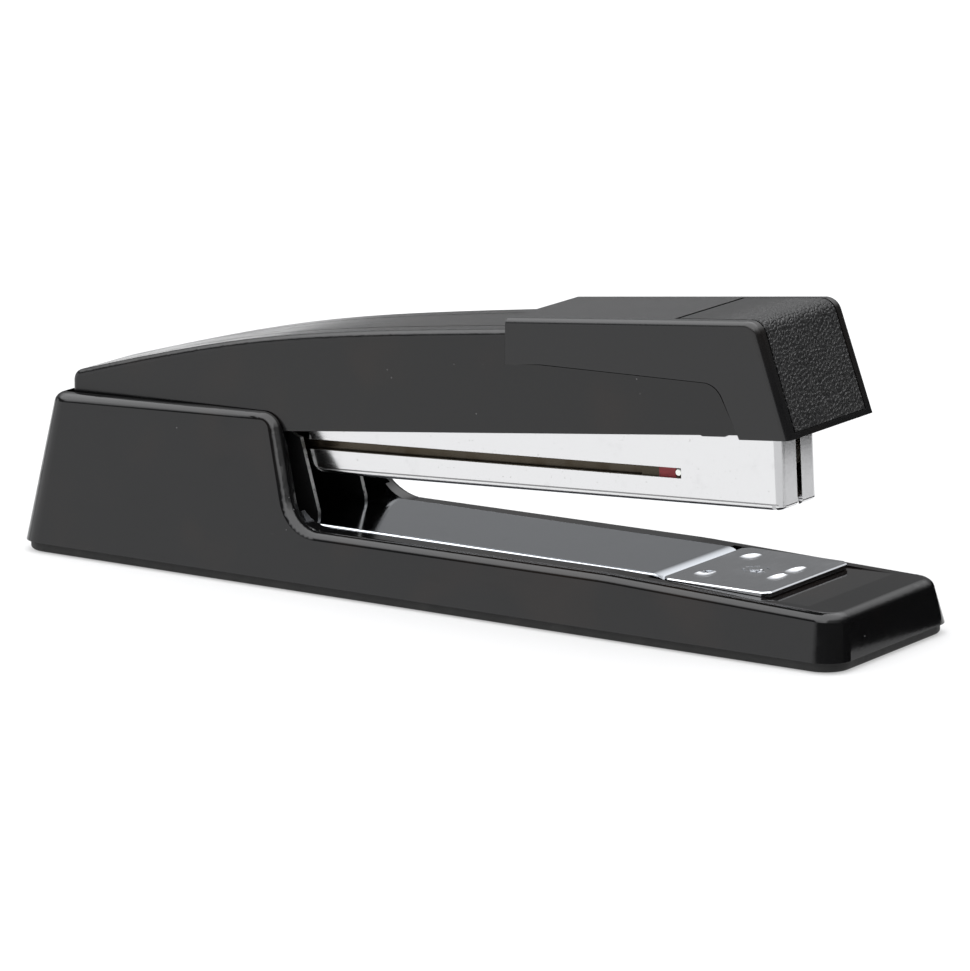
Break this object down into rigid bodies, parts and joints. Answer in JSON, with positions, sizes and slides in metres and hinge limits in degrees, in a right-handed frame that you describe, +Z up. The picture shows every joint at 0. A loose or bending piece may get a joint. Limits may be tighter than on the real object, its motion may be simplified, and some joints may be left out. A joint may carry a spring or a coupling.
{
  "type": "desk stapler",
  "caption": "Full-strip desk stapler: magazine and handle arm swing on one pin over a weighted base; the anvil lifts on its stud.",
  "frame": {"origin": "centre of the base on the desk, half way along the base shell", "axes": "+X to the nose, +Y across, +Z up from the desk"},
  "size_m": [0.2118, 0.0496, 0.0705],
  "materials": {
    "shell_enamel": "gloss black enamel",
    "arm_enamel": "gloss black enamel",
    "cap_plastic": "satin black moulding",
    "grip_texture": "leather-grained black insert",
    "pad_rubber": "matt black rubber",
    "yoke_paint": "black paint, bare at its cut edges",
    "deck_plate": "polished plated steel",
    "anvil_plating": "bright plated steel",
    "magazine_plating": "bright plating",
    "rail_steel": "dark oiled steel",
    "frame_steel": "zinc-plated steel",
    "fastener_steel": "zinc-plated steel",
    "spring_steel": "drawn spring wire",
    "pusher_steel": "dark pressed steel",
    "flag_red": "dark red",
    "flag_rivet_metal": "bright rivet"
  },
  "bodies": {
    "base": {"base_shell": "shell_enamel", "base_pad": "pad_rubber", "base_plate": "frame_steel", "base_screws": "fastener_steel", "yoke": "yoke_paint", "yoke_rivets": "fastener_steel", "pivot_pin": "fastener_steel", "pin_spacers": "fastener_steel", "lift_spring": "spring_steel", "floor_plate": "deck_plate"},
    "anvil": {"anvil_plate": "anvil_plating", "anvil_stud": "anvil_plating", "anvil_clip": "fastener_steel", "anvil_spring": "spring_steel"},
    "magazine": {"magazine_channel": "magazine_plating", "staple_rail": "rail_steel", "rod_bracket": "rail_steel", "pusher_rod": "rail_steel", "magazine_rivets": "rail_steel", "pusher_spring": "spring_steel"},
    "pusher": {"pusher": "pusher_steel", "low_staple_flag": "flag_red", "flag_rivet": "flag_rivet_metal"},
    "arm": {"arm_shell": "arm_enamel", "latch_tabs": "arm_enamel", "front_cap": "cap_plastic", "grip_pad": "grip_texture", "driver_liner": "frame_steel", "liner_blocks": "frame_steel", "driver_blade": "rail_steel", "driver_rivets": "fastener_steel", "cap_screws": "fastener_steel", "return_spring": "spring_steel"}
  },
  "joints": [
    {"name": "magazine_hinge", "type": "hinge", "parent": "base", "child": "magazine", "pos_m": [-0.08115, 0, 0.03], "axis": [0, -1, 0], "range_deg": [-4.7, 50], "stiffness_Nm_per_rad": 2.5, "springref_deg": 4.58, "deforming": ["lift_spring"]},
    {"name": "arm_hinge", "type": "hinge", "parent": "magazine", "child": "arm", "pos_m": [-0.08115, 0, 0.03], "axis": [0, -1, 0], "range_deg": [-2.8, 50], "stiffness_Nm_per_rad": 2, "springref_deg": 4.01, "deforming": ["return_spring"]},
    {"name": "pusher_slide", "type": "slide", "parent": "magazine", "child": "pusher", "axis": [-0.9986, 0, -0.0523], "range_m": [0, 0.1], "stiffness_N_per_m": 20, "springref_m": -0.03, "deforming": ["pusher_spring"]},
    {"name": "anvil_lift", "type": "slide", "parent": "base", "child": "anvil", "axis": [0, 0, 1], "range_m": [0, 0.0016], "stiffness_N_per_m": 600, "springref_m": -0.003, "deforming": ["anvil_spring"]}
  ]
}
